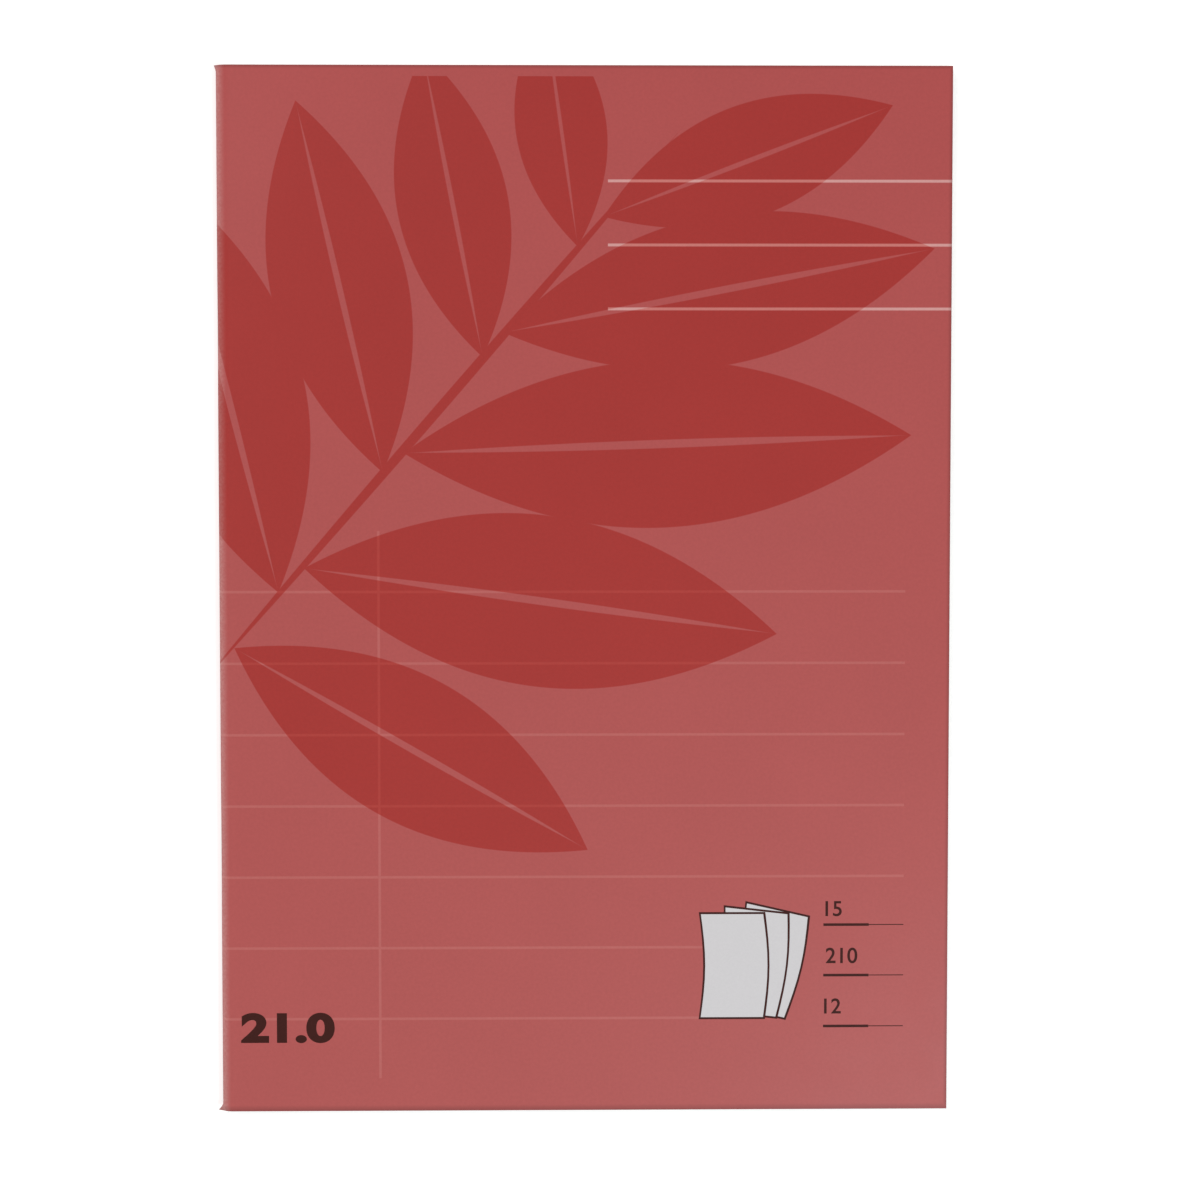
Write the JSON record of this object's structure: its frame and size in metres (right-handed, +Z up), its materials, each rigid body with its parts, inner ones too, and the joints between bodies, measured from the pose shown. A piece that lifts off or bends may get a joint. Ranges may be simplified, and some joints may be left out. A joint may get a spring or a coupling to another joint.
{
  "type": "stapled exercise booklet",
  "caption": "Portrait exercise booklet: nested folded writing leaves in a folded card cover, held by wire staples at the fold; the cover and every leaf turn on the spine.",
  "frame": {"origin": "under the middle of the closed booklet, on the surface it lies on", "axes": "+X from the spine to the fore edge, +Y to the head, +Z up out of the front cover"},
  "size_m": [0.147, 0.21, 0.0038],
  "materials": {
    "printed_card": "thin coated card, printed red outside, semi-matt",
    "writing_paper": "white uncoated writing paper with ruled lines",
    "steel_wire": "drawn galvanised wire"
  },
  "bodies": {
    "back_cover": {"back_cover": "printed_card"},
    "leaf_24": {"leaf_24": "writing_paper"},
    "leaf_23": {"leaf_23": "writing_paper"},
    "leaf_22": {"leaf_22": "writing_paper"},
    "leaf_21": {"leaf_21": "writing_paper"},
    "leaf_20": {"leaf_20": "writing_paper"},
    "leaf_19": {"leaf_19": "writing_paper"},
    "leaf_18": {"leaf_18": "writing_paper"},
    "leaf_17": {"leaf_17": "writing_paper"},
    "leaf_16": {"leaf_16": "writing_paper"},
    "leaf_15": {"leaf_15": "writing_paper"},
    "leaf_14": {"leaf_14": "writing_paper"},
    "leaf_13": {"leaf_13": "writing_paper", "upper_staple": "steel_wire", "lower_staple": "steel_wire"},
    "leaf_12": {"leaf_12": "writing_paper"},
    "leaf_11": {"leaf_11": "writing_paper"},
    "leaf_10": {"leaf_10": "writing_paper"},
    "leaf_09": {"leaf_09": "writing_paper"},
    "leaf_08": {"leaf_08": "writing_paper"},
    "leaf_07": {"leaf_07": "writing_paper"},
    "leaf_06": {"leaf_06": "writing_paper"},
    "leaf_05": {"leaf_05": "writing_paper"},
    "leaf_04": {"leaf_04": "writing_paper"},
    "leaf_03": {"leaf_03": "writing_paper"},
    "leaf_02": {"leaf_02": "writing_paper"},
    "leaf_01": {"leaf_01": "writing_paper"},
    "front_cover": {"front_cover": "printed_card"}
  },
  "joints": [
    {"name": "leaf_24_turn", "type": "hinge", "parent": "back_cover", "child": "leaf_24", "pos_m": [-0.07326, 0, 0.0019], "axis": [0, -1, 0], "range_deg": [0, 180]},
    {"name": "leaf_23_turn", "type": "hinge", "parent": "leaf_24", "child": "leaf_23", "pos_m": [-0.07326, 0, 0.0019], "axis": [0, -1, 0], "range_deg": [0, 180]},
    {"name": "leaf_22_turn", "type": "hinge", "parent": "leaf_23", "child": "leaf_22", "pos_m": [-0.07326, 0, 0.0019], "axis": [0, -1, 0], "range_deg": [0, 180]},
    {"name": "leaf_21_turn", "type": "hinge", "parent": "leaf_22", "child": "leaf_21", "pos_m": [-0.07326, 0, 0.0019], "axis": [0, -1, 0], "range_deg": [0, 180]},
    {"name": "leaf_20_turn", "type": "hinge", "parent": "leaf_21", "child": "leaf_20", "pos_m": [-0.07326, 0, 0.0019], "axis": [0, -1, 0], "range_deg": [0, 180]},
    {"name": "leaf_19_turn", "type": "hinge", "parent": "leaf_20", "child": "leaf_19", "pos_m": [-0.07326, 0, 0.0019], "axis": [0, -1, 0], "range_deg": [0, 180]},
    {"name": "leaf_18_turn", "type": "hinge", "parent": "leaf_19", "child": "leaf_18", "pos_m": [-0.07326, 0, 0.0019], "axis": [0, -1, 0], "range_deg": [0, 180]},
    {"name": "leaf_17_turn", "type": "hinge", "parent": "leaf_18", "child": "leaf_17", "pos_m": [-0.07326, 0, 0.0019], "axis": [0, -1, 0], "range_deg": [0, 180]},
    {"name": "leaf_16_turn", "type": "hinge", "parent": "leaf_17", "child": "leaf_16", "pos_m": [-0.07326, 0, 0.0019], "axis": [0, -1, 0], "range_deg": [0, 180]},
    {"name": "leaf_15_turn", "type": "hinge", "parent": "leaf_16", "child": "leaf_15", "pos_m": [-0.07326, 0, 0.0019], "axis": [0, -1, 0], "range_deg": [0, 180]},
    {"name": "leaf_14_turn", "type": "hinge", "parent": "leaf_15", "child": "leaf_14", "pos_m": [-0.07326, 0, 0.0019], "axis": [0, -1, 0], "range_deg": [0, 180]},
    {"name": "leaf_13_turn", "type": "hinge", "parent": "leaf_14", "child": "leaf_13", "pos_m": [-0.07326, 0, 0.0019], "axis": [0, -1, 0], "range_deg": [0, 180]},
    {"name": "leaf_12_turn", "type": "hinge", "parent": "leaf_13", "child": "leaf_12", "pos_m": [-0.07326, 0, 0.0019], "axis": [0, -1, 0], "range_deg": [0, 180]},
    {"name": "leaf_11_turn", "type": "hinge", "parent": "leaf_12", "child": "leaf_11", "pos_m": [-0.07326, 0, 0.0019], "axis": [0, -1, 0], "range_deg": [0, 180]},
    {"name": "leaf_10_turn", "type": "hinge", "parent": "leaf_11", "child": "leaf_10", "pos_m": [-0.07326, 0, 0.0019], "axis": [0, -1, 0], "range_deg": [0, 180]},
    {"name": "leaf_09_turn", "type": "hinge", "parent": "leaf_10", "child": "leaf_09", "pos_m": [-0.07326, 0, 0.0019], "axis": [0, -1, 0], "range_deg": [0, 180]},
    {"name": "leaf_08_turn", "type": "hinge", "parent": "leaf_09", "child": "leaf_08", "pos_m": [-0.07326, 0, 0.0019], "axis": [0, -1, 0], "range_deg": [0, 180]},
    {"name": "leaf_07_turn", "type": "hinge", "parent": "leaf_08", "child": "leaf_07", "pos_m": [-0.07326, 0, 0.0019], "axis": [0, -1, 0], "range_deg": [0, 180]},
    {"name": "leaf_06_turn", "type": "hinge", "parent": "leaf_07", "child": "leaf_06", "pos_m": [-0.07326, 0, 0.0019], "axis": [0, -1, 0], "range_deg": [0, 180]},
    {"name": "leaf_05_turn", "type": "hinge", "parent": "leaf_06", "child": "leaf_05", "pos_m": [-0.07326, 0, 0.0019], "axis": [0, -1, 0], "range_deg": [0, 180]},
    {"name": "leaf_04_turn", "type": "hinge", "parent": "leaf_05", "child": "leaf_04", "pos_m": [-0.07326, 0, 0.0019], "axis": [0, -1, 0], "range_deg": [0, 180]},
    {"name": "leaf_03_turn", "type": "hinge", "parent": "leaf_04", "child": "leaf_03", "pos_m": [-0.07326, 0, 0.0019], "axis": [0, -1, 0], "range_deg": [0, 180]},
    {"name": "leaf_02_turn", "type": "hinge", "parent": "leaf_03", "child": "leaf_02", "pos_m": [-0.07326, 0, 0.0019], "axis": [0, -1, 0], "range_deg": [0, 180]},
    {"name": "leaf_01_turn", "type": "hinge", "parent": "leaf_02", "child": "leaf_01", "pos_m": [-0.07326, 0, 0.0019], "axis": [0, -1, 0], "range_deg": [0, 180]},
    {"name": "front_cover_turn", "type": "hinge", "parent": "leaf_01", "child": "front_cover", "pos_m": [-0.07326, 0, 0.0019], "axis": [0, -1, 0], "range_deg": [0, 180]}
  ]
}
